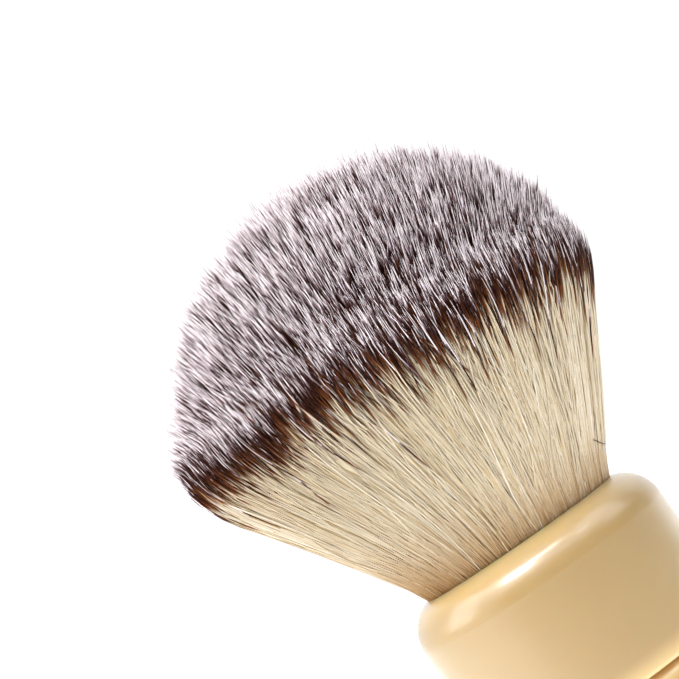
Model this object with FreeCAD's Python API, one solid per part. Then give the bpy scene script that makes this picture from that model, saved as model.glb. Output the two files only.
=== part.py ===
import FreeCAD, Part
import math
import os

from FreeCAD import Vector

# Shaving brush. Millimetres, +Z up, the brush stands on z = 0 with its axis on Z.
# Every piece is turned about that axis, so each is drawn as a half section in r and z.

# Heights on the axis
LIP_Z = 58.0            # top of the handle, where the hair comes out
COLLAR_BOTTOM_Z = 38.0
RING_BOTTOM_Z = 34.4
SOCKET_FLOOR_Z = 47.0
CUP_TOP_Z = 54.0

# Knot
KNOT_R = 12.9           # hair at the lip
FLARE_SLOPE = 0.668     # growth of the hair's radius with height
DOME_R = 29.2
DOME_CENTRE_Z = LIP_Z + 23.0
RIM_R = 6.0             # rounding between flare and dome
ROOT_R = 12.1           # hair inside its cup
BEND_R = 20.0           # ball about the lip's centre that stays with the handle
BEND_GAP = 0.3

# Handle
COLLAR_R = 17.5
SHOULDER_R = 5.0
COLLAR_EDGE_R = 0.6
SOCKET_R = 13.2
LIP_EDGE_R = 0.4
TENON_R = 10.0
TENON_DEPTH = 2.5       # how far the grip's spigot reaches into the collar
BEAD_R = (COLLAR_BOTTOM_Z - RING_BOTTOM_Z) / 2
RING_R = 17.2
NECK_R = 12.5
NECK_Z = 27.5
BULB_R = 18.0
BULB_Z = 11.0
BULB_CURVE_R = 16.0
PLINTH_TOP_Z = 2.2
BASE_EDGE_R = 0.8

# Inside the handle
HOLE_R = 3.3            # clearance hole for the screw
HOLLOW_R = 11.4
HOLLOW_TOP_Z = 20.0
CAP_R = 13.0
CAP_TOP_Z = 3.0
CAP_RECESS = 0.5        # the cap's underside stays off the table
FOOT_R = 11.0
FOOT_THICKNESS = 0.8
ADHESIVE = 0.3          # glue around the knot cup
ADHESIVE_FLOOR = 0.6
ADHESIVE_TOP_Z = 53.0
POTTING_TOP_Z = 50.6

# M6 x 35 socket-head screw, its washer and its insert
SHANK_R = 3.0
SHANK_LENGTH = 35.0
HEAD_R = 5.0
HEAD_HEIGHT = 6.0
HEX_ACROSS_FLATS = 5.0
HEX_DEPTH = 3.0
WASHER_R = 6.0
WASHER_THICKNESS = 1.6
WASHER_HOLE_R = 3.2
INSERT_R = 5.0
INSERT_LENGTH = 5.0
COUNTERBORE_R = 6.5

INSERT_BOTTOM_Z = COLLAR_BOTTOM_Z + TENON_DEPTH
INSERT_TOP_Z = INSERT_BOTTOM_Z + INSERT_LENGTH
HEAD_TOP_Z = INSERT_TOP_Z - SHANK_LENGTH
WASHER_TOP_Z = HEAD_TOP_Z + WASHER_THICKNESS


def point(r, z):
    """A point of the half section."""
    return Vector(r, 0, z)


def line(start, end):
    """A straight edge of the half section."""
    return Part.LineSegment(point(*start), point(*end)).toShape()


def arc(centre, radius, first_deg, last_deg):
    """An arc of the half section; angles are measured from +r towards +z."""
    def at(angle):
        turn = math.radians(angle)
        return point(centre[0] + radius * math.cos(turn), centre[1] + radius * math.sin(turn))

    middle_deg = (first_deg + last_deg) / 2
    return Part.Arc(at(first_deg), at(middle_deg), at(last_deg)).toShape()


def turned(edges):
    """The solid made by turning a closed half section about the Z axis."""
    loops = Part.sortEdges(edges)
    face = Part.Face(Part.Wire(loops[0]))
    return face.revolve(Vector(0, 0, 0), Vector(0, 0, 1), 360)


def disc(radius, bottom, top):
    """A plain cylinder on the axis."""
    return Part.makeCylinder(radius, top - bottom, point(0, bottom))


def tube(outer, inner, bottom, top):
    """A plain sleeve on the axis."""
    return disc(outer, bottom, top).cut(disc(inner, bottom, top))


def flare_radius(z):
    """Radius of the hair's cone at height z."""
    return KNOT_R + FLARE_SLOPE * (z - LIP_Z)


def hair():
    """The whole knot above its potting: gathered roots, straight flare and domed tips."""
    # The flare's line meets the dome's circle this far above the dome's centre.
    steepness = 1 + FLARE_SLOPE ** 2
    middle_r = flare_radius(DOME_CENTRE_Z)
    rise = (math.sqrt(steepness * DOME_R ** 2 - middle_r ** 2) - FLARE_SLOPE * middle_r) / steepness
    rim = (middle_r + FLARE_SLOPE * rise, DOME_CENTRE_Z + rise)
    rim_deg = math.degrees(math.asin(rise / DOME_R))
    knot = turned([
        line((0, POTTING_TOP_Z), (ROOT_R, POTTING_TOP_Z)),
        line((ROOT_R, POTTING_TOP_Z), (ROOT_R, CUP_TOP_Z)),
        line((ROOT_R, CUP_TOP_Z), (KNOT_R, LIP_Z)),
        line((KNOT_R, LIP_Z), rim),
        arc((0, DOME_CENTRE_Z), DOME_R, rim_deg, 90),
        line((0, DOME_CENTRE_Z + DOME_R), (0, POTTING_TOP_Z)),
    ])
    widest = max(knot.Edges, key=lambda edge: edge.Length)
    return knot.makeFillet(RIM_R, [widest])


def bend_ball(radius):
    """The ball about the middle of the lip on which the free hair turns."""
    return Part.makeSphere(radius, point(0, LIP_Z))


def bristle_base():
    """The part of the hair that stays still with the handle."""
    return hair().common(bend_ball(BEND_R - BEND_GAP / 2))


def bristle_tuft():
    """The free hair above the ball."""
    below = disc(2 * DOME_R, POTTING_TOP_Z, LIP_Z)
    return hair().cut(bend_ball(BEND_R + BEND_GAP / 2)).cut(below)


def knot_cup():
    """The thin sleeve that gathers the roots."""
    return tube(SOCKET_R - ADHESIVE, ROOT_R, SOCKET_FLOOR_Z + ADHESIVE_FLOOR, CUP_TOP_Z)


def knot_potting():
    """The disc of set resin in the bottom of the sleeve."""
    return disc(ROOT_R, SOCKET_FLOOR_Z + ADHESIVE_FLOOR, POTTING_TOP_Z)


def knot_adhesive():
    """The epoxy between the knot and the socket."""
    around = tube(SOCKET_R, SOCKET_R - ADHESIVE, SOCKET_FLOOR_Z, ADHESIVE_TOP_Z)
    floor = disc(SOCKET_R, SOCKET_FLOOR_Z, SOCKET_FLOOR_Z + ADHESIVE_FLOOR)
    return around.fuse(floor).removeSplitter()


def handle_collar():
    """The drum with its rounded shoulder, knot socket, insert hole and centring recess."""
    edge = (COLLAR_R - COLLAR_EDGE_R, COLLAR_BOTTOM_Z + COLLAR_EDGE_R)
    shoulder = (COLLAR_R - SHOULDER_R, LIP_Z - SHOULDER_R)
    drum = turned([
        line((0, COLLAR_BOTTOM_Z), (edge[0], COLLAR_BOTTOM_Z)),
        arc(edge, COLLAR_EDGE_R, -90, 0),
        line((COLLAR_R, edge[1]), (COLLAR_R, shoulder[1])),
        arc(shoulder, SHOULDER_R, 0, 90),
        line((shoulder[0], LIP_Z), (0, LIP_Z)),
        line((0, LIP_Z), (0, COLLAR_BOTTOM_Z)),
    ])
    drum = drum.cut(disc(SOCKET_R, SOCKET_FLOOR_Z, LIP_Z))
    drum = drum.cut(disc(TENON_R, COLLAR_BOTTOM_Z, INSERT_BOTTOM_Z))
    drum = drum.cut(disc(INSERT_R, INSERT_BOTTOM_Z, INSERT_TOP_Z))
    lip = max(drum.Edges, key=lambda circle: circle.BoundBox.ZMin)
    return drum.makeFillet(LIP_EDGE_R, [lip])


def collar_insert():
    """The brass insert that takes the screw."""
    return tube(INSERT_R, SHANK_R, INSERT_BOTTOM_Z, INSERT_TOP_Z)


def waist_ring():
    """The rounded bead between drum and grip."""
    middle = (RING_BOTTOM_Z + COLLAR_BOTTOM_Z) / 2
    bead = RING_R - BEAD_R
    return turned([
        line((TENON_R, RING_BOTTOM_Z), (bead, RING_BOTTOM_Z)),
        arc((bead, middle), BEAD_R, -90, 90),
        line((bead, COLLAR_BOTTOM_Z), (TENON_R, COLLAR_BOTTOM_Z)),
        line((TENON_R, COLLAR_BOTTOM_Z), (TENON_R, RING_BOTTOM_Z)),
    ])


def handle_grip():
    """The lower handle: plinth, bulb, cove and spigot, bored from below."""
    bulb = (BULB_R - BULB_CURVE_R, BULB_Z)
    reach = NECK_R - bulb[0]
    climb = NECK_Z - BULB_Z
    # The cove's circle touches the bulb's circle and has its waist at NECK_Z.
    cove_r = (reach ** 2 + climb ** 2 - BULB_CURVE_R ** 2) / (2 * (BULB_CURVE_R - reach))
    cove = (NECK_R + cove_r, NECK_Z)
    touch_deg = math.degrees(math.atan2(climb, cove[0] - bulb[0]))
    plinth_deg = math.degrees(math.asin((PLINTH_TOP_Z - BULB_Z) / BULB_CURVE_R))
    plinth_r = bulb[0] + BULB_CURVE_R * math.cos(math.radians(plinth_deg))
    top_deg = math.degrees(math.asin((RING_BOTTOM_Z - NECK_Z) / cove_r))
    top_r = cove[0] - cove_r * math.cos(math.radians(top_deg))
    grip = turned([
        line((0, 0), (plinth_r - BASE_EDGE_R, 0)),
        arc((plinth_r - BASE_EDGE_R, BASE_EDGE_R), BASE_EDGE_R, -90, 0),
        line((plinth_r, BASE_EDGE_R), (plinth_r, PLINTH_TOP_Z)),
        arc(bulb, BULB_CURVE_R, plinth_deg, touch_deg),
        arc(cove, cove_r, 180 + touch_deg, 180 - top_deg),
        line((top_r, RING_BOTTOM_Z), (TENON_R, RING_BOTTOM_Z)),
        line((TENON_R, RING_BOTTOM_Z), (TENON_R, INSERT_BOTTOM_Z)),
        line((TENON_R, INSERT_BOTTOM_Z), (0, INSERT_BOTTOM_Z)),
        line((0, INSERT_BOTTOM_Z), (0, 0)),
    ])
    grip = grip.cut(disc(CAP_R, 0, CAP_TOP_Z))
    grip = grip.cut(disc(HOLLOW_R, CAP_TOP_Z, HOLLOW_TOP_Z))
    return grip.cut(disc(HOLE_R, HOLLOW_TOP_Z, INSERT_BOTTOM_Z))


def ballast_weight():
    """The steel slug, counterbored for the screw's head and washer."""
    slug = disc(HOLLOW_R, CAP_TOP_Z, HOLLOW_TOP_Z)
    slug = slug.cut(disc(COUNTERBORE_R, CAP_TOP_Z, WASHER_TOP_Z))
    return slug.cut(disc(HOLE_R, WASHER_TOP_Z, HOLLOW_TOP_Z))


def bolt_washer():
    """The washer under the screw's head."""
    return tube(WASHER_R, WASHER_HOLE_R, HEAD_TOP_Z, WASHER_TOP_Z)


def draw_bolt():
    """The socket-head screw, head down, with its thread plain."""
    head_bottom = HEAD_TOP_Z - HEAD_HEIGHT
    bolt = disc(HEAD_R, head_bottom, HEAD_TOP_Z).fuse(disc(SHANK_R, HEAD_TOP_Z, INSERT_TOP_Z))
    corner_r = HEX_ACROSS_FLATS / math.sqrt(3)
    corners = [Vector(corner_r * math.cos(math.radians(60 * side)),
                      corner_r * math.sin(math.radians(60 * side)), head_bottom) for side in range(7)]
    key_hole = Part.Face(Part.makePolygon(corners)).extrude(Vector(0, 0, HEX_DEPTH))
    return bolt.removeSplitter().cut(key_hole)


def base_cap():
    """The cap that closes the hollow, let in for the cork disc."""
    cap = disc(CAP_R, CAP_RECESS, CAP_TOP_Z)
    return cap.cut(disc(FOOT_R, CAP_RECESS, CAP_RECESS + FOOT_THICKNESS))


def foot_disc():
    """The cork disc under the cap."""
    return disc(FOOT_R, CAP_RECESS, CAP_RECESS + FOOT_THICKNESS)


PIECES = [
    bristle_tuft,
    bristle_base,
    knot_cup,
    knot_potting,
    knot_adhesive,
    handle_collar,
    collar_insert,
    waist_ring,
    handle_grip,
    ballast_weight,
    draw_bolt,
    bolt_washer,
    base_cap,
    foot_disc,
]


def main():
    """Write one STEP file per piece."""
    os.makedirs("parts", exist_ok=True)
    for piece in PIECES:
        shape = piece()
        shape.exportStep("parts/" + piece.__name__ + ".step")
        box = shape.BoundBox
        print(piece.__name__, len(shape.Solids), "solid,", round(shape.Volume), "mm3,",
              "z", round(box.ZMin, 2), round(box.ZMax, 2), "r", round(box.XMax, 2), shape.isValid())


main()
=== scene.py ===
import logging
import math
from dataclasses import dataclass, field
from enum import Enum

import bmesh
import bpy
import numpy as np
from mathutils import Matrix, Vector


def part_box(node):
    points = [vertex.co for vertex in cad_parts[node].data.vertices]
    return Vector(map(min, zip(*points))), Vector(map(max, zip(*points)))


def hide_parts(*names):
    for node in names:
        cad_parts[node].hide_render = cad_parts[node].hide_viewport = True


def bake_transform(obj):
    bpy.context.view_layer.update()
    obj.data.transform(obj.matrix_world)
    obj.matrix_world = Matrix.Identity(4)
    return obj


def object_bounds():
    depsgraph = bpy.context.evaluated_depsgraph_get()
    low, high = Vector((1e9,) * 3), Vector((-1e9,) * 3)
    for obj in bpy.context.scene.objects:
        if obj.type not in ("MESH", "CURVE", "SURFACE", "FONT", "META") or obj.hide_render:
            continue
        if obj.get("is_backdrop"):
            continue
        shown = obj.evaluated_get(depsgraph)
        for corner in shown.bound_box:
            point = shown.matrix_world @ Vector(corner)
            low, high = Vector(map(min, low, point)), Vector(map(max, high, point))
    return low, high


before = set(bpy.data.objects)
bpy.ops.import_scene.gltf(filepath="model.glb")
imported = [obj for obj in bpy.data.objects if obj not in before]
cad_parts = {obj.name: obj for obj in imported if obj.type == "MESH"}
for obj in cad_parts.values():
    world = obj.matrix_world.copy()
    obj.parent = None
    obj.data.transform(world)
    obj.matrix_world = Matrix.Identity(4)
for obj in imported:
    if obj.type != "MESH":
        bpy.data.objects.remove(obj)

MM = 0.001
HAIR_UV = "OFBake"

Colour = tuple[float, float, float]
log = logging.getLogger("shaving_brush")


def linear(red: float, green: float, blue: float) -> Colour:
    """Turn a colour named in 0 to 255 display values into the linear values that shaders use.

    Args:
        red: Display red.
        green: Display green.
        blue: Display blue.

    Returns:
        The same colour in linear values.
    """
    def channel(value: float) -> float:
        """Linear value of one channel, by the sRGB curve."""
        share = value / 255
        return share / 12.92 if share <= 0.04045 else ((share + 0.055) / 1.055) ** 2.4

    return channel(red), channel(green), channel(blue)


def show(name: str, data: bpy.types.ID) -> bpy.types.Object:
    """Put a mesh, a lamp or a camera in the scene.

    Args:
        name: The new object's name.
        data: What it holds.

    Returns:
        The object.
    """
    shown = bpy.data.objects.new(name, data)
    bpy.context.scene.collection.objects.link(shown)
    return shown


class Body(Enum):
    """The two bodies of the brush."""

    HANDLE = "handle"
    TUFT = "tuft"


class Growth(Enum):
    """Where on the knot a fibre grows."""

    FLANK = "flank"
    CROWN = "crown"
    STRAY = "stray"


class Wiring:
    """A node tree while it is being put together."""

    def __init__(self, tree: bpy.types.NodeTree) -> None:
        """Take the tree to work on.

        Args:
            tree: A material's or the room's node tree.
        """
        self.tree = tree

    def add(self, kind: str, **settings: object) -> bpy.types.Node:
        """Add a node.

        Args:
            kind: The node's type, without its ShaderNode prefix.
            settings: Properties of the node.

        Returns:
            The new node.
        """
        node = self.tree.nodes.new("ShaderNode" + kind)
        for name, value in settings.items():
            setattr(node, name, value)
        return node

    def feed(self, socket: bpy.types.NodeSocket, value: object) -> None:
        """Give an input a link or a plain number.

        Args:
            socket: The input.
            value: An output socket, or the value to set.
        """
        if isinstance(value, bpy.types.NodeSocket):
            self.tree.links.new(value, socket)
        else:
            socket.default_value = value

    def sum(self, operation: str, first: object, second: object = 0.0,
            third: object = 0.0) -> bpy.types.NodeSocket:
        """One step of arithmetic.

        Args:
            operation: The Math node's operation.
            first: First input, a socket or a number.
            second: Second input.
            third: Third input, where the operation has one.

        Returns:
            The result's socket.
        """
        node = self.add("Math", operation=operation)
        for socket, value in zip(node.inputs, (first, second, third)):
            self.feed(socket, value)
        return node.outputs[0]

    def span(self, value: object, low: object, high: object) -> bpy.types.NodeSocket:
        """How far a value has come from low to high, from 0 to 1, with eased ends.

        Args:
            value: The value to place.
            low: Where the result is 0.
            high: Where the result is 1.

        Returns:
            The share's socket.
        """
        node = self.add("MapRange", interpolation_type="SMOOTHSTEP")
        for name, given in (("Value", value), ("From Min", low), ("From Max", high)):
            self.feed(node.inputs[name], given)
        return node.outputs["Result"]

    def mix(self, share: object, first: object, second: object,
            blend: str = "MIX") -> bpy.types.NodeSocket:
        """Mix two colours.

        Args:
            share: How much of the second, from 0 to 1.
            first: A colour or a colour socket.
            second: A colour or a colour socket.
            blend: The way of mixing.

        Returns:
            The mixed colour's socket.
        """
        node = self.add("Mix", data_type="RGBA", blend_type=blend)
        self.feed(node.inputs[0], share)
        for socket, given in ((node.inputs[6], first), (node.inputs[7], second)):
            self.feed(socket, given if isinstance(given, bpy.types.NodeSocket) else (*given, 1.0))
        return node.outputs[2]

    def parts(self, vector: bpy.types.NodeSocket) -> bpy.types.NodeOutputs:
        """The three numbers of a vector.

        Args:
            vector: The vector's socket.

        Returns:
            Outputs named X, Y and Z.
        """
        node = self.add("SeparateXYZ")
        self.feed(node.inputs[0], vector)
        return node.outputs


class Recipe(Wiring):
    """A node material while it is being put together."""

    def __init__(self, name: str) -> None:
        """Start a material with one Principled shader.

        Args:
            name: The material's name.
        """
        self.material = bpy.data.materials.new(name)
        self.material.use_nodes = True
        super().__init__(self.material.node_tree)
        self.shader = self.tree.nodes["Principled BSDF"]

    def fix(self, **values: float | tuple) -> None:
        """Set the shader's own sockets; an underscore stands for a space in a socket's name.

        Args:
            values: Socket names and what each is set to.
        """
        for name, value in values.items():
            self.shader.inputs[name.replace("_", " ")].default_value = value

    def tint(self, colour: bpy.types.NodeSocket) -> None:
        """Give the shader its colour.

        Args:
            colour: The colour's socket.
        """
        self.feed(self.shader.inputs["Base Color"], colour)

    def place(self, scale: tuple[float, float, float] = (1.0, 1.0, 1.0)) -> bpy.types.NodeSocket:
        """The piece's own Object coordinates.

        Args:
            scale: Factors along X, Y and Z.

        Returns:
            The coordinates' socket.
        """
        mapping = self.add("Mapping")
        mapping.inputs["Scale"].default_value = scale
        self.feed(mapping.inputs["Vector"], self.add("TexCoord").outputs["Object"])
        return mapping.outputs[0]

    def noise(self, where: bpy.types.NodeSocket, scale: float, detail: float = 2.0) -> bpy.types.NodeSocket:
        """A soft random pattern.

        Args:
            where: Coordinates to read.
            scale: Features per metre, about.
            detail: Finer layers.

        Returns:
            The pattern's socket, from 0 to 1.
        """
        node = self.add("TexNoise")
        node.inputs["Scale"].default_value = scale
        node.inputs["Detail"].default_value = detail
        self.feed(node.inputs["Vector"], where)
        return node.outputs["Fac"]

    def roughen(self, pattern: bpy.types.NodeSocket, middle: float, spread: float) -> None:
        """Vary the shader's roughness by a pattern.

        Args:
            pattern: The pattern, from 0 to 1.
            middle: Roughness at the pattern's middle.
            spread: Roughness between the pattern's ends.
        """
        rough = self.sum("MULTIPLY_ADD", pattern, spread, middle - spread / 2)
        self.feed(self.shader.inputs["Roughness"], rough)

    def emboss(self, height: bpy.types.NodeSocket, distance: float, strength: float = 1.0) -> None:
        """Raise the surface by a pattern.

        Args:
            height: The pattern.
            distance: Depth of the relief in metres.
            strength: Share of it that shows.
        """
        bump = self.add("Bump")
        bump.inputs["Distance"].default_value = distance
        bump.inputs["Strength"].default_value = strength
        self.feed(bump.inputs["Height"], height)
        self.feed(self.shader.inputs["Normal"], bump.outputs[0])


@dataclass(frozen=True)
class IvoryResin:
    """Cast cream resin, turned and buffed to a gloss; near its edges its colour is painted warmer and paler,
    a painted glow of light through the resin.

    Edges are heights in metres, and reach is how far the painted glow goes. Grain, haze and lines are
    features per metre; the turning lines run round the piece, so they are stretched wide and flat.
    """

    edges: tuple[float, ...] = ()
    name: str = "ivory_resin"
    pale: Colour = linear(168, 141, 89)
    deep: Colour = linear(162, 135, 84)
    painted_edge_glow: Colour = linear(206, 178, 126)
    reach: float = 0.0028
    roughness: float = 0.42
    grain: float = 90.0
    haze: float = 900.0
    haze_stretch: tuple[float, float, float] = (1.0, 1.0, 6.0)
    haze_depth: float = 0.10
    lines: tuple[float, float, float] = (20.0, 20.0, 2600.0)
    line_depth: float = 0.000004
    line_strength: float = 0.35
    glow_through: tuple[float, float, float] = (1.0, 0.62, 0.32)
    glow_reach: float = 0.005

    def material(self) -> bpy.types.Material:
        """Build the material: cloudy tint, a painted glow at the edges, buffing haze and faint turning
        lines.
        """
        recipe = Recipe(self.name)
        cloud = recipe.noise(recipe.place(), self.grain, 3.0)
        colour = recipe.mix(cloud, self.deep, self.pale)
        height = recipe.parts(recipe.place())["Z"]
        # painted glow: the colour turns warmer and paler near each edge height, standing in for light
        # through the resin
        for edge in self.edges:
            away = recipe.sum("ABSOLUTE", recipe.sum("SUBTRACT", height, edge))
            colour = recipe.mix(recipe.span(away, self.reach, 0.0), colour, self.painted_edge_glow)
        recipe.tint(colour)
        recipe.roughen(recipe.noise(recipe.place(self.haze_stretch), self.haze, 4.0), self.roughness,
                       self.haze_depth)
        recipe.fix(Subsurface_Weight=1.0, Subsurface_Radius=self.glow_through,
                   Subsurface_Scale=self.glow_reach, IOR=1.5, Specular_IOR_Level=0.7,
                   Coat_Weight=1.0, Coat_IOR=1.6, Coat_Roughness=0.2)
        recipe.emboss(recipe.noise(recipe.place(self.lines), 1.0), self.line_depth, self.line_strength)
        return recipe.material


@dataclass(frozen=True)
class Fibre:
    """Fine synthetic hair: white tip, near-black band, brown edge, cream shaft, painted golden shade towards
    the root.

    Distances along a fibre are in millimetres from its tip. A fibre's kind runs from 0 on the outside of
    the knot, where the white tip is short, to 1 inside, where it is long; below rim_kind a fibre counts as
    the rim. A bias is the power that the random draw of the white tip's length is raised to.
    """

    name: str = "dyed_fibre"
    length: float = 48.0
    rows: int = 256
    tip: Colour = linear(230, 221, 225)
    lilac: Colour = linear(142, 120, 126)
    band: Colour = linear(50, 20, 12)
    brown: Colour = linear(112, 62, 28)
    cream: Colour = linear(236, 229, 214)
    straw: Colour = linear(206, 182, 140)
    root_shade: Colour = linear(182, 143, 93)
    tip_least: float = 0.45
    tip_spread: float = 6.0
    tip_bias: float = 5.0
    tip_bias_by_kind: float = -3.9
    rim_bias: float = 5.0
    rim_kind: float = 0.12
    fade: float = 0.9
    band_least: float = 3.3
    band_by_kind: float = 9.0
    band_spread: float = 3.4
    brown_length: float = 2.0
    root_shade_from: float = 20.0
    root_shade_to: float = 36.0

    def material(self) -> bpy.types.Material:
        """Build the material from each fibre's own map: along it in one direction, its kind in the other."""
        recipe = Recipe(self.name)
        place = recipe.parts(recipe.add("UVMap", uv_map=HAIR_UV).outputs[0])
        from_tip = recipe.sum("MULTIPLY", place["X"], self.length)
        row = recipe.sum("FLOOR", recipe.sum("MULTIPLY", place["Y"], float(self.rows)))
        kind = recipe.sum("DIVIDE", row, float(self.rows))
        draw = recipe.add("TexWhiteNoise", noise_dimensions="1D")
        recipe.feed(draw.inputs["W"], row)
        luck = recipe.parts(draw.outputs["Color"])
        within = recipe.span(kind, 0.0, self.rim_kind)
        bias = recipe.sum("MULTIPLY_ADD", kind, self.tip_bias_by_kind, self.tip_bias + self.rim_bias)
        bias = recipe.sum("MULTIPLY_ADD", within, -self.rim_bias, bias)
        least = recipe.sum("MULTIPLY", within, self.tip_least)
        white_end = recipe.sum("MULTIPLY_ADD", recipe.sum("POWER", luck["X"], bias), self.tip_spread, least)
        band_end = recipe.sum("MULTIPLY_ADD", kind, self.band_by_kind, self.band_least)
        band_end = recipe.sum("MULTIPLY_ADD", luck["Y"], self.band_spread, band_end)
        colour = recipe.mix(recipe.span(from_tip, 0.0, white_end), self.tip, self.lilac)
        dark_from = recipe.sum("ADD", white_end, self.fade)
        colour = recipe.mix(recipe.span(from_tip, white_end, dark_from), colour, self.band)
        brown_from = recipe.sum("SUBTRACT", band_end, self.brown_length)
        colour = recipe.mix(recipe.span(from_tip, brown_from, band_end), colour, self.brown)
        cream_from = recipe.sum("ADD", band_end, self.brown_length)
        shaft = recipe.mix(luck["Z"], self.cream, self.straw)
        colour = recipe.mix(recipe.span(from_tip, band_end, cream_from), colour, shaft)
        # painted shade: the shaft turns golden towards the root, where the fibres meet the handle
        recipe.tint(recipe.mix(recipe.span(from_tip, self.root_shade_from, self.root_shade_to), colour, self.root_shade))
        recipe.fix(Roughness=0.5, IOR=1.5, Specular_IOR_Level=0.12)
        return recipe.material


@dataclass(frozen=True)
class PackedHair:
    """The closed mass of fibres under the outer ones, seen only as the dark between them; dark brown on top,
    partly band colour and partly painted shade, with painted shade in its furrows.

    Floor and ceiling are the heights in metres between which cream turns to brown, give or take ragged.
    """

    floor: float
    ceiling: float
    name: str = "packed_fibre"
    cream: Colour = linear(248, 236, 204)
    brown: Colour = linear(34, 20, 16)
    furrow_shade: Colour = (0.8, 0.76, 0.7)
    ridge: Colour = (1.0, 1.0, 1.0)
    grain: float = 3200.0
    stretch: tuple[float, float, float] = (1.0, 1.0, 0.12)
    ragged: float = 0.006
    relief: float = 0.0003

    def material(self) -> bpy.types.Material:
        """Build the material: cream below, dark above as band colour and painted shade, streaked along the
        fibres with painted shade in the furrows.
        """
        recipe = Recipe(self.name)
        streaks = recipe.noise(recipe.place(self.stretch), self.grain)
        height = recipe.sum("MULTIPLY_ADD", streaks, self.ragged, recipe.parts(recipe.place())["Z"])
        # painted shade: the core turns dark brown above the floor height, partly the fibres' band colour and
        # partly shade deep in the knot
        colour = recipe.mix(recipe.span(height, self.floor, self.ceiling), self.cream, self.brown)
        # painted shade: the furrows between fibres are darkened
        shade = recipe.mix(streaks, self.furrow_shade, self.ridge)
        recipe.tint(recipe.mix(1.0, colour, shade, "MULTIPLY"))
        recipe.fix(Roughness=0.8)
        recipe.emboss(streaks, self.relief)
        return recipe.material


@dataclass(frozen=True)
class Plain:
    """A moulded, cast or rolled stock material with its own grain, in features per metre."""

    name: str
    colour: Colour
    shade: Colour
    roughness: float
    metallic: float = 0.0
    grain: float = 800.0
    stretch: tuple[float, float, float] = (1.0, 1.0, 1.0)
    relief: float = 0.00002
    haze_depth: float = 0.2

    def material(self) -> bpy.types.Material:
        """Build the material: two close tints in a grain that also roughens and embosses it."""
        recipe = Recipe(self.name)
        grain = recipe.noise(recipe.place(self.stretch), self.grain, 4.0)
        recipe.tint(recipe.mix(grain, self.shade, self.colour))
        recipe.roughen(grain, self.roughness, self.haze_depth)
        recipe.fix(Metallic=self.metallic)
        recipe.emboss(grain, self.relief)
        return recipe.material


@dataclass(frozen=True)
class Cork:
    """Pressed cork: small pale grains in darker binder."""

    name: str = "pressed_cork"
    grain: Colour = linear(190, 142, 92)
    dark: Colour = linear(120, 78, 44)
    cell: float = 1100.0
    seam: float = 0.12
    speck: float = 2600.0
    relief: float = 0.0001

    def material(self) -> bpy.types.Material:
        """Build the material from a cell pattern with dark seams."""
        recipe = Recipe(self.name)
        cells = recipe.add("TexVoronoi", feature="DISTANCE_TO_EDGE")
        cells.inputs["Scale"].default_value = self.cell
        recipe.feed(cells.inputs["Vector"], recipe.place())
        seam = recipe.span(cells.outputs["Distance"], 0.0, self.seam)
        speck = recipe.noise(recipe.place(), self.speck, 3.0)
        tint = recipe.mix(speck, self.dark, self.grain)
        recipe.tint(recipe.mix(seam, self.dark, tint))
        recipe.fix(Roughness=0.85)
        recipe.emboss(seam, self.relief)
        return recipe.material


@dataclass
class Handle:
    """The turned handle and everything fixed inside it, all of it shaped by the design."""

    ivory: tuple[str, ...] = ("handle_collar", "waist_ring", "handle_grip")
    finishes: dict[str, Plain | Cork] = field(default_factory=lambda: {
        "knot_cup": Plain("cup_plastic", linear(232, 230, 222), linear(222, 219, 208), 0.45),
        "knot_potting": Plain("amber_resin", linear(190, 142, 74), linear(166, 118, 56), 0.25),
        "knot_adhesive": Plain("set_epoxy", linear(214, 204, 178), linear(198, 186, 156), 0.35),
        "collar_insert": Plain("turned_brass", linear(206, 170, 92), linear(186, 146, 70), 0.3, 1.0,
                               grain=300.0, stretch=(1.0, 1.0, 20.0)),
        "ballast_weight": Plain("turned_steel", linear(158, 158, 160), linear(132, 132, 136), 0.4, 1.0,
                                grain=200.0, stretch=(1.0, 1.0, 40.0)),
        "draw_bolt": Plain("zinc_plate", linear(200, 202, 206), linear(182, 184, 190), 0.25, 1.0),
        "bolt_washer": Plain("zinc_plate_washer", linear(200, 202, 206), linear(182, 184, 190), 0.3, 1.0),
        "base_cap": Plain("cap_plastic", linear(226, 200, 152), linear(218, 190, 142), 0.38,
                          grain=2400.0, relief=0.00003),
        "foot_disc": Cork(),
    })

    def dress(self) -> None:
        """Give every fixed node its finish."""
        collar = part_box("handle_collar")
        resin = IvoryResin((collar[0].z, collar[1].z)).material()
        for name in self.ivory:
            self._wear(name, resin)
        for name, finish in self.finishes.items():
            self._wear(name, finish.material())

    def _wear(self, name: str, material: bpy.types.Material) -> None:
        """Put one material on a node of the design.

        Args:
            name: The node.
            material: What it wears.
        """
        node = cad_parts[name]
        node.data.materials.clear()
        node.data.materials.append(material)
        log.info("%s wears %s", name, material.name)


@dataclass
class Bundle:
    """Centre lines and radii of many fibres, in millimetres from the lip's centre.

    Dye is the distance from the tip that a ring is coloured for, and kind is the fibre's kind.
    """

    lines: np.ndarray
    radius: np.ndarray
    dye: np.ndarray
    kind: np.ndarray


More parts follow.
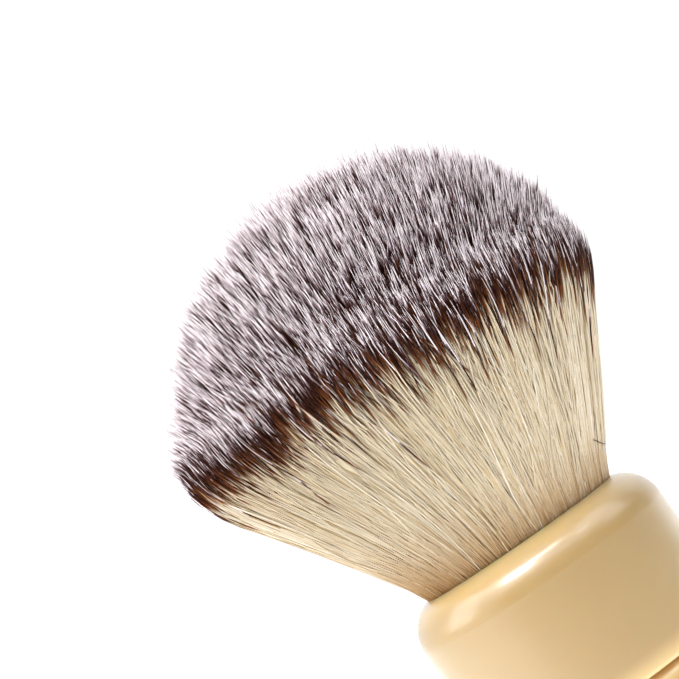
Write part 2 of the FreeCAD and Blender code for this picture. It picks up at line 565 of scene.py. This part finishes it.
@dataclass
class FibreMould:
    """Turns centre lines into closed three-sided tapered tubes.

    Askew keeps the direction that rings are turned from clear of every fibre. Across is where the three
    sides lie in their fibre's row of the map, within its inset.
    """

    sides: int = 3
    askew: float = 0.01
    across: tuple[float, ...] = (0.0, 1.0, 0.5)
    inset: float = 0.15
    last_kind: float = 0.9999

    def cast(self, name: str, bundle: Bundle, lip: Vector, finish: Fibre,
             material: bpy.types.Material) -> bpy.types.Object:
        """Make one piece of many fibres.

        Args:
            name: The piece's name.
            bundle: The fibres' centre lines.
            lip: The lip's centre in metres.
            finish: Tells how the fibre's map is laid out.
            material: What the piece wears.

        Returns:
            The piece, with its place in its mesh.
        """
        count, rings = bundle.lines.shape[:2]
        mesh = self._blanks(name, count, rings)
        skin = self._skin(bundle) * MM + np.array(lip)
        mesh.vertices.foreach_set("co", skin.astype(np.float32).ravel())
        self._map(mesh, bundle, finish)
        mesh.shade_smooth()
        mesh.materials.append(material)
        mesh.update()
        return show(name, mesh)

    def _blanks(self, name: str, count: int, rings: int) -> bpy.types.Mesh:
        """Straight tubes, one per fibre, each a block of vertices ring by ring.

        Args:
            name: The mesh's name.
            count: How many tubes.
            rings: Rings along each.

        Returns:
            The mesh.
        """
        work = bmesh.new()
        bmesh.ops.create_circle(work, segments=self.sides, radius=1.0)
        edges = work.edges[:]
        for _ in range(rings - 1):
            grown = bmesh.ops.extrude_edge_only(work, edges=edges)["geom"]
            bmesh.ops.translate(work, verts=[v for v in grown if isinstance(v, bmesh.types.BMVert)],
                                vec=(0.0, 0.0, 1.0))
            edges = [e for e in grown if isinstance(e, bmesh.types.BMEdge)]
        bmesh.ops.holes_fill(work, edges=work.edges[:], sides=self.sides)
        bmesh.ops.recalc_face_normals(work, faces=work.faces[:])
        made = 1
        while made < count:
            work.verts.ensure_lookup_table()
            work.faces.ensure_lookup_table()
            more = min(made, count - made)
            verts = work.verts[:more * self.sides * rings]
            faces = work.faces[:more * (self.sides * (rings - 1) + 2)]
            bmesh.ops.duplicate(work, geom=verts + faces)
            made += more
        mesh = bpy.data.meshes.new(name)
        work.to_mesh(mesh)
        work.free()
        return mesh

    def _skin(self, bundle: Bundle) -> np.ndarray:
        """Every vertex of every tube.

        Args:
            bundle: The fibres.

        Returns:
            An array of fibre, ring, side and coordinate.
        """
        run = np.gradient(bundle.lines, axis=1)
        run /= np.linalg.norm(run, axis=2, keepdims=True)
        across = np.cross(run, np.array([0.0, 0.0, 1.0]) + self.askew)
        across /= np.linalg.norm(across, axis=2, keepdims=True)
        other = np.cross(run, across)
        turn = np.arange(self.sides) * 2 * math.pi / self.sides
        ring = (across[:, :, None, :] * np.cos(turn)[None, None, :, None]
                + other[:, :, None, :] * np.sin(turn)[None, None, :, None])
        return bundle.lines[:, :, None, :] + ring * bundle.radius[:, :, None, None]

    def _map(self, mesh: bpy.types.Mesh, bundle: Bundle, finish: Fibre) -> None:
        """Lay each fibre's map: distance from the tip across, its kind up.

        Args:
            mesh: The mesh of tubes.
            bundle: The fibres.
            finish: Gives the map's length and rows.
        """
        count, rings = bundle.lines.shape[:2]
        along = np.repeat((bundle.dye / finish.length)[:, :, None], self.sides, axis=2)
        row = np.floor(np.clip(bundle.kind, 0, self.last_kind) * finish.rows)
        within = self.inset + (1 - 2 * self.inset) * np.array(self.across)
        up = (row[:, None, None] + within[None, None, :]) / finish.rows + np.zeros((count, rings, 1))
        places = np.stack([along, up], axis=3).reshape(-1, 2)
        corner = np.empty(len(mesh.loops), np.int32)
        mesh.loops.foreach_get("vertex_index", corner)
        layer = mesh.uv_layers.new(name=HAIR_UV)
        layer.data.foreach_set("uv", places[corner].astype(np.float32).ravel())


@dataclass(frozen=True)
class Tract:
    """A part of the knot whose fibres are made alike.

    A fibre's place in the knot runs from 0 on the axis to 1 at the edge of the lip. Lengths are in
    millimetres: shift moves the dye of each lock up or down, slip lowers it on single fibres, and bow
    bends fibres out of line.
    """

    growth: Growth
    fibres: int
    pieces: int
    rings: int
    inner: float
    outer: float
    shown: float
    shift: float
    bow: float = 0.0
    slip: float = 0.0


@dataclass
class Knot:
    """The fan of fibres: sizes in millimetres, heights measured from the lip.

    Fibres swell by bulge just above the lip, fan out along slope, and the outer ones turn in near the rim.
    Their tips lie on a dome of radius dome_r round a centre at dome_rise, sunk and ragged at random, and
    tilted at the rim. A pair of values holds the ends of a random draw: a wave's beat is in radians over
    the fibre's free length, a bow's in half turns.
    """

    root_r: float = 13.0
    bulge: float = 0.38
    bulge_height: float = 0.9
    slope: float = 0.655
    dome_r: float = 29.6
    dome_rise: float = 23.0
    turn_in: float = 0.037
    turn_in_from: float = 20.5
    turn_in_length: float = 9.0
    turn_in_power: int = 6
    lean: float = 1.1
    lean_at: float = 26.0
    lean_reach: float = 12.0
    root_depth: float = 3.0
    neck: float = 0.2
    bend_reach: float = 26.0
    fibre_r: float = 0.09
    fibre_r_spread: tuple[float, float] = (0.8, 1.2)
    tip_r: float = 0.012
    taper: float = 3.0
    pace: float = 1.25
    search_below: float = 5.0
    halvings: int = 24
    ragged: float = 0.35
    sunk: float = 1.2
    rim_ragged: float = 0.6
    rim_from: float = 0.8
    rim_width: float = 0.2
    curl: float = 0.3
    curl_length: float = 10.0
    wave: float = 0.32
    wave_beat: tuple[float, float] = (5.0, 12.0)
    wave_phase: float = 6.3
    wave_onset: float = 6.0
    bow_beat: tuple[float, float] = (0.6, 2.2)
    drift: float = 0.45
    lock: float = 0.7
    lock_inset: float = 0.2
    lock_lift: float = 0.25
    lock_mix: tuple[float, float, float] = (127.1, 311.7, 43758.5453)
    lock_salts: tuple[float, float, float] = (0.0, 7.0, 3.0)
    gather: float = 0.3
    gather_power: int = 3
    inside: float = 0.85
    inside_power: float = 2.1
    kind_scatter: float = 0.04
    kind_most: float = 0.999
    tilt: float = 1.5
    band_scatter: float = 0.8
    band_proud: float = 1.5
    loose_rings: int = 12
    loose_from: float = -32.0
    loose_to: float = -14.0
    loose_height: float = 4.8
    loose_drop: float = 1.2
    loose_lift: float = 0.25
    loose_r: float = 0.065
    loose_dye: float = 2.4
    core_gap: float = 0.45
    core_root_gap: float = 0.6
    core_depth: float = 7.0
    core_rim: float = 19.0
    core_rings: int = 12
    core_steps: int = 14
    core_turns: int = 72
    core_merge: float = 0.01
    core_dark_at: float = 5.0
    core_dark_length: float = 4.0
    seed: int = 11
    tracts: tuple[Tract, ...] = (
        Tract(Growth.FLANK, 8400, 3, 10, 0.93, 1.0, 80.0, 0.8),
        Tract(Growth.CROWN, 36000, 6, 5, 0.0, 0.93, 12.0, 0.5),
        Tract(Growth.STRAY, 220, 1, 16, 0.985, 1.01, 80.0, 0.5, 0.7, 8.0),
    )
    mould: FibreMould = field(default_factory=FibreMould)
    finish: Fibre = field(default_factory=Fibre)

    def __post_init__(self) -> None:
        """Find the lip and start the random draws."""
        self.lip = Vector((0.0, 0.0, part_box("handle_collar")[1].z))
        self.random = np.random.default_rng(self.seed)

    def build(self) -> None:
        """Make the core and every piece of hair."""
        material = self.finish.material()
        self._settle(self._core())
        for tract in self.tracts:
            for number in range(tract.pieces):
                bundle = self._grow(tract, number)
                name = f"{tract.growth.value}_hair_{number + 1}"
                self._settle(self.mould.cast(name, bundle, self.lip, self.finish, material))
        self._settle(self.mould.cast("loose_hair_1", self._loose(), self.lip, self.finish, material))

    def _loose(self) -> Bundle:
        """One short curled hair caught on the flank just above the lip.

        Returns:
            The single fibre.
        """
        along = np.linspace(0, 1, self.loose_rings)
        turn = np.radians(self.loose_from + (self.loose_to - self.loose_from) * along)
        height = self.loose_height - self.loose_drop * np.sin(along * math.pi / 2)
        reach = self._spread(np.float64(1.0), height) + self.loose_lift
        lines = np.stack([reach * np.cos(turn), reach * np.sin(turn), height], axis=1)[None]
        radius = np.full((1, self.loose_rings), self.loose_r)
        return Bundle(lines, radius, np.full((1, self.loose_rings), self.loose_dye), np.zeros(1))

    def _settle(self, piece: bpy.types.Object) -> None:
        """Fix a piece in place and hide the plain hair solids that it stands for.

        Args:
            piece: The piece.
        """
        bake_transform(piece)
        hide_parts("bristle_tuft", "bristle_base")
        log.info("%s has %d faces", piece.name, len(piece.data.polygons))

    def _spread(self, share: np.ndarray, height: np.ndarray) -> np.ndarray:
        """Radius of a fibre: all fan out straight, and the outer ones turn inwards near their tips.

        Args:
            share: The fibre's place at the lip, from 0 at the axis to 1 at the edge.
            height: Height above the lip.

        Returns:
            The radius at each height.
        """
        bent = np.clip(height - self.turn_in_from, 0, self.turn_in_length)
        swell = self.bulge * np.exp(-(np.maximum(height, 0) / self.bulge_height) ** 2) * (height > 0)
        turned_in = self.turn_in * share ** self.turn_in_power * bent ** 2
        return share * (self.root_r + self.slope * height + swell - turned_in)

    def _lean(self, height: np.ndarray) -> np.ndarray:
        """How far the whole knot stands to one side.

        Args:
            height: Height above the lip.

        Returns:
            The distance along X at each height.
        """
        return -self.lean * np.exp(-((height - self.lean_at) / self.lean_reach) ** 2)

    def _tip_height(self, share: np.ndarray) -> np.ndarray:
        """Height at which a fibre meets the dome, found by halving.

        Args:
            share: The fibre's place at the lip, from 0 at the axis to 1 at the edge.

        Returns:
            The heights above the lip.
        """
        low = np.full(share.shape, self.dome_rise - self.search_below)
        high = np.full(share.shape, self.dome_rise + self.dome_r)
        for _ in range(self.halvings):
            middle = (low + high) / 2
            within = np.hypot(self._spread(share, middle), middle - self.dome_rise) < self.dome_r
            low = np.where(within, middle, low)
            high = np.where(within, high, middle)
        return low

    def _grow(self, tract: Tract, part: int) -> Bundle:
        """Lay out the fibres of one sector of a tract.

        Args:
            tract: The tract.
            part: Which sector, from 0.

        Returns:
            The fibres.
        """
        rand = self.random
        count = tract.fibres // tract.pieces
        share = np.sqrt(rand.uniform(tract.inner ** 2, tract.outer ** 2, count))
        turn = (part + rand.uniform(0, 1, count)) * 2 * math.pi / tract.pieces
        lock_share, lock_turn, lock_luck = self._locks(share, turn)
        tip, proud = self._tips(share, turn, lock_luck)
        height = self._ring_heights(tract, tip)
        free = np.clip(height / tip[:, None], 0, 1)
        pull = self.gather * free ** self.gather_power
        own = (1 - pull) * self._spread(share[:, None], height)
        shared = pull * self._spread(lock_share[:, None], height)
        x = own * np.cos(turn)[:, None] + shared * np.cos(lock_turn)[:, None]
        y = own * np.sin(turn)[:, None] + shared * np.sin(lock_turn)[:, None]
        curl = np.clip(1 - (tip[:, None] - height) / self.curl_length, 0, 1) ** 2
        bend = rand.normal(0, self.curl, (count, 2))
        x += bend[:, :1] * curl
        y += bend[:, 1:] * curl
        aside = self._waver(tract, free)
        x -= aside * np.sin(turn)[:, None]
        y += aside * np.cos(turn)[:, None]
        lines = np.stack([x + self._lean(height), y, height], axis=2)
        from_tip = self._from_tip(lines)
        radius = self.tip_r + (self.fibre_r - self.tip_r) * np.clip(from_tip / self.taper, 0, 1)
        radius *= rand.uniform(*self.fibre_r_spread, (count, 1))
        kind = np.clip((1 - share) / self.inside, 0, 1) ** self.inside_power
        kind += rand.normal(0, self.kind_scatter, count)
        shift = tract.shift * lock_luck + rand.normal(0, self.band_scatter, count)
        shift -= tract.slip * rand.uniform(0, 1, count) ** 2 + self.band_proud * proud
        return Bundle(lines, radius, from_tip + shift[:, None], np.clip(kind, 0, self.kind_most))

    def _tips(self, share: np.ndarray, turn: np.ndarray,
              lock_luck: np.ndarray) -> tuple[np.ndarray, np.ndarray]:
        """How high each fibre's tip stands: about the dome, mostly just under it.

        Args:
            share: Place from axis to edge.
            turn: Angle round the axis.
            lock_luck: The luck of each fibre's lock.

        Returns:
            The tips' heights, and how far each was drawn above the dome.
        """
        count = len(share)
        rim = np.clip((share - self.rim_from) / self.rim_width, 0, 1)
        dome = self._tip_height(np.minimum(share, 1.0))
        tip = dome + self.random.normal(0, self.ragged, count)
        tip += self.sunk / 2 - self.random.exponential(self.sunk, count)
        proud = np.maximum(tip - dome, 0)
        tip += self.lock_lift * lock_luck - rim * np.abs(self.random.normal(0, self.rim_ragged, count))
        tip -= self.tilt * rim * np.cos(turn)
        return tip, proud

    def _ring_heights(self, tract: Tract, tip: np.ndarray) -> np.ndarray:
        """Heights of every fibre's rings, closer together towards the tip.

        A fibre that shows at full length has one ring at its root and the next at the neck, so that it
        leaves the handle cleanly.

        Args:
            tract: The tract.
            tip: Heights of the tips.

        Returns:
            An array of fibre and ring.
        """
        start = np.maximum(tip - tract.shown, -self.root_depth)
        step = 1 - (1 - np.linspace(0, 1, tract.rings)) ** self.pace
        height = start[:, None] + (tip - start)[:, None] * step
        if tract.shown > self.dome_rise + self.dome_r:
            height[:, 1:] = self.neck + (tip - self.neck)[:, None] * step[:-1] / step[-2]
        return height

    def _waver(self, tract: Tract, free: np.ndarray) -> np.ndarray:
        """How far each fibre strays round the knot, by waves, a steady drift and the tract's bow.

        Args:
            tract: The tract.
            free: How far each ring is from the lip to the tip, from 0 to 1.

        Returns:
            The distance to one side at each ring.
        """
        rand, each = self.random, (len(free), 1)
        beat = rand.uniform(*self.wave_beat, each)
        waves = self.wave * rand.exponential(1.0, each)
        waves = waves * np.sin(free * beat + rand.uniform(0, self.wave_phase, each))
        waves *= np.clip(self.wave_onset * free, 0, 1)
        drift = self.drift * rand.normal(0, 1, each) * free
        bow = tract.bow * rand.normal(0, 1, each)
        return waves + drift + bow * np.sin(free * math.pi * rand.uniform(*self.bow_beat, each))

    def _from_tip(self, lines: np.ndarray) -> np.ndarray:
        """Distance of every ring from its fibre's tip.

        Args:
            lines: The fibres' centre lines.

        Returns:
            An array of fibre and ring.
        """
        paces = np.linalg.norm(np.diff(lines, axis=1), axis=2)
        from_tip = np.zeros(lines.shape[:2])
        from_tip[:, :-1] = np.cumsum(paces[:, ::-1], axis=1)[:, ::-1]
        return from_tip

    def _locks(self, share: np.ndarray, turn: np.ndarray) -> tuple[np.ndarray, np.ndarray, np.ndarray]:
        """Find each fibre's lock: fibres near each other lean together at the tips.

        Args:
            share: Place from axis to edge.
            turn: Angle round the axis.

        Returns:
            The lock's place from axis to edge, its angle, and its luck from -1 to 1.
        """
        cell = self.lock / self.root_r
        column = np.floor(share * np.cos(turn) / cell)
        line = np.floor(share * np.sin(turn) / cell)

        def luck(salt: float) -> np.ndarray:
            """A repeatable random number from 0 to 1 for each cell."""
            across, along, size = self.lock_mix
            mixed = np.sin(column * across + line * along + salt) * size
            return mixed - np.floor(mixed)

        first, second, third = (luck(salt) for salt in self.lock_salts)
        within = 1 - 2 * self.lock_inset
        x = (column + self.lock_inset + within * first) * cell
        y = (line + self.lock_inset + within * second) * cell
        return np.hypot(x, y), np.arctan2(y, x), 2 * third - 1

    def _core_outline(self) -> list[tuple[float, float]]:
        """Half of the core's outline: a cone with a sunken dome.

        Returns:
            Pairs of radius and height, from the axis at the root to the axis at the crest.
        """
        def flank(height: float) -> float:
            """Radius of the cone at a height."""
            return float(self._spread(np.float64(1.0), np.float64(height))) - self.core_gap

        root, rim = self.root_r - self.core_gap, self.core_rim
        crest = self.dome_rise + self.dome_r - self.core_depth
        outline = [(0.0, -self.root_depth), (root - self.core_root_gap, -self.root_depth), (root, 0.0)]
        for height in np.linspace(0.0, rim, self.core_rings)[1:-1]:
            outline.append((flank(height), float(height)))
        for number in range(self.core_steps + 1):
            angle = number / self.core_steps * math.pi / 2
            outline.append((flank(rim) * math.cos(angle), rim + (crest - rim) * math.sin(angle)))
        return outline

    def _core(self) -> bpy.types.Object:
        """The closed mass under the outer fibres, turned from its outline and leaning with them.

        Returns:
            The piece.
        """
        work = bmesh.new()
        verts = [work.verts.new((r * MM, 0.0, z * MM)) for r, z in self._core_outline()]
        edges = [work.edges.new(pair) for pair in zip(verts, verts[1:])]
        bmesh.ops.spin(work, geom=verts + edges, cent=(0, 0, 0), axis=(0, 0, 1), angle=2 * math.pi,
                       steps=self.core_turns, use_merge=True)
        bmesh.ops.remove_doubles(work, verts=work.verts[:], dist=self.core_merge * MM)
        bmesh.ops.recalc_face_normals(work, faces=work.faces[:])
        for vert in work.verts:
            vert.co.x += self._lean(vert.co.z / MM) * MM
        bmesh.ops.translate(work, verts=work.verts[:], vec=self.lip)
        mesh = bpy.data.meshes.new("packed_hair")
        work.to_mesh(mesh)
        work.free()
        mesh.shade_smooth()
        # painted shade: the core is dark from here up, partly band colour and partly shade deep in the knot
        floor = self.lip.z + (self.core_rim + self.core_dark_at) * MM
        mesh.materials.append(PackedHair(floor, floor + self.core_dark_length * MM).material())
        return show("packed_hair", mesh)


@dataclass(frozen=True)
class Lamp:
    """A soft box: its place, size and power, and what it faces; lengths in metres."""

    name: str
    place: tuple[float, float, float]
    size: tuple[float, float]
    power: float
    aim: tuple[float, float, float] = (0.0, 0.0, 0.06)

    def hang(self) -> None:
        """Put the lamp in the scene."""
        data = bpy.data.lights.new(self.name, "AREA")
        data.shape = "RECTANGLE"
        data.size, data.size_y = self.size
        data.energy = self.power
        lamp = show(self.name, data)
        lamp.location = self.place
        lamp.rotation_euler = (Vector(self.aim) - Vector(self.place)).to_track_quat("-Z", "Y").to_euler()


@dataclass
class Studio:
    """A white table, a white room, soft boxes and the camera; lengths in metres.

    The room is white but for a dim opening behind the camera, turned by opening_turn degrees. Opening_edge,
    front_rise and back_rise are the pairs of values, from -1 to 1, between which one light turns into the
    next: across the opening, up its height, and up the height of the wall. The table is painted darker on
    the opening's side, a painted shade, from its darkest line to table_white_at, and glows on its far side,
    a painted glow.
    """

    distance: float = 0.1834
    eye_above_lip: float = 0.0077
    aim_above_lip: float = 0.0331
    aim_aside: float = -0.0042
    roll: float = 34.74
    lens: float = 77.6
    floor_size: float = 6.0
    wall: float = 1.05
    roof: float = 0.62
    opening: float = 0.15
    opening_turn: float = 40.0
    opening_edge: tuple[float, float] = (-0.1, 0.26)
    front_rise: tuple[float, float] = (0.0, 0.85)
    back_rise: tuple[float, float] = (0.42, 0.58)
    painted_table_glow: float = 0.5
    painted_table_shade_at: float = -0.24
    table_white_at: float = 0.03
    table_mottle: float = 3.0
    painted_table_shade: Colour = (0.5, 0.5, 0.5)
    table_low: Colour = (0.89, 0.89, 0.89)
    table_high: Colour = (0.91, 0.91, 0.91)
    sight: tuple[float, float] = (0.01, 10.0)
    lamps: tuple[Lamp, ...] = (
        Lamp("left_box", (-0.46, -0.05, 0.50), (0.36, 0.80), 2.6),
        Lamp("right_box", (0.50, -0.04, 0.52), (0.36, 0.60), 1.2),
        Lamp("front_box", (0.02, -0.42, 0.60), (1.30, 0.36), 2.0),
        Lamp("key_box", (-0.15, -0.34, 0.66), (0.30, 0.26), 4.6),
        Lamp("key_tail", (0.10, -0.32, 0.69), (0.28, 0.06), 0.9),
        Lamp("spark_box", (0.42, -0.26, 0.56), (0.10, 0.03), 0.15),
    )

    def build(self) -> None:
        """Make the table, the room's light, the lamps and the camera."""
        self._table(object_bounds()[0].z)
        self._light_room()
        for lamp in self.lamps:
            lamp.hang()
        self._camera(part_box("handle_collar")[1].z)
        view = bpy.context.scene.view_settings
        view.view_transform = "Standard"
        view.look = "None"

    def _table(self, height: float) -> None:
        """The pale floor, painted darker towards the opening as painted shade and glowing on its far side as
        painted glow.

        Args:
            height: Where the brush stands.
        """
        work = bmesh.new()
        bmesh.ops.create_grid(work, x_segments=1, y_segments=1, size=self.floor_size / 2)
        bmesh.ops.translate(work, verts=work.verts[:], vec=(0.0, 0.0, height))
        mesh = bpy.data.meshes.new("table")
        work.to_mesh(mesh)
        work.free()
        recipe = Recipe("white_table")
        paper = recipe.mix(recipe.noise(recipe.place(), self.table_mottle), self.table_low, self.table_high)
        where = recipe.parts(recipe.place())
        turn = math.radians(self.opening_turn)
        away = recipe.sum("MULTIPLY_ADD", where["Y"], math.cos(turn),
                          recipe.sum("MULTIPLY", where["X"], -math.sin(turn)))
        # painted shade: the table is darker towards the opening
        far = recipe.span(away, self.painted_table_shade_at, self.table_white_at)
        recipe.tint(recipe.mix(far, self.painted_table_shade, paper))
        recipe.fix(Roughness=0.9, Emission_Color=(1.0, 1.0, 1.0, 1.0))
        # painted glow: the table emits light on its far side, though it is no lamp
        recipe.feed(recipe.shader.inputs["Emission Strength"], recipe.sum("MULTIPLY", far, self.painted_table_glow))
        mesh.materials.append(recipe.material)
        show("table", mesh)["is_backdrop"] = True

    def _light_room(self) -> None:
        """A white tent all round, with a darker opening on the camera's side."""
        world = bpy.data.worlds.new("tent")
        world.use_nodes = True
        wiring = Wiring(world.node_tree)
        way = wiring.parts(wiring.add("TexCoord").outputs["Generated"])
        turn = math.radians(self.opening_turn)
        towards = wiring.sum("MULTIPLY_ADD", way["Y"], -math.cos(turn),
                             wiring.sum("MULTIPLY", way["X"], math.sin(turn)))
        share = wiring.span(towards, *self.opening_edge)
        front = wiring.sum("MULTIPLY_ADD", wiring.span(way["Z"], *self.front_rise),
                           self.roof - self.opening, self.opening)
        back = wiring.sum("MULTIPLY_ADD", wiring.span(way["Z"], *self.back_rise),
                          self.roof - self.wall, self.wall)
        light = wiring.sum("MULTIPLY_ADD", share, wiring.sum("SUBTRACT", front, back), back)
        background = world.node_tree.nodes["Background"]
        wiring.feed(background.inputs["Strength"], light)
        background.inputs["Color"].default_value = (1.0, 1.0, 1.0, 1.0)
        bpy.context.scene.world = world

    def _camera(self, lip: float) -> None:
        """The camera, close to the brush and rolled so that the brush lies across the frame.

        Args:
            lip: Height of the handle's lip.
        """
        eye = Vector((0.0, -self.distance, lip + self.eye_above_lip))
        aim = Vector((self.aim_aside, 0.0, lip + self.aim_above_lip))
        back = (eye - aim).normalized()
        right = Vector((0.0, 0.0, 1.0)).cross(back).normalized()
        up = back.cross(right)
        turn = math.radians(self.roll)
        across = right * math.cos(turn) - up * math.sin(turn)
        upward = right * math.sin(turn) + up * math.cos(turn)
        pose = Matrix((across, upward, back)).transposed().to_4x4()
        pose.translation = eye
        data = bpy.data.cameras.new("camera")
        data.lens = self.lens
        data.clip_start, data.clip_end = self.sight
        camera = show("camera", data)
        camera.matrix_world = pose
        bpy.context.scene.camera = camera


def main() -> None:
    """Build the brush and its studio, and note the sizes."""
    logging.basicConfig(level=logging.INFO, format="%(name)s: %(message)s")
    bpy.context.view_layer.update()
    Studio().build()
    Handle().dress()
    Knot().build()


if __name__ == "__main__":
    main()
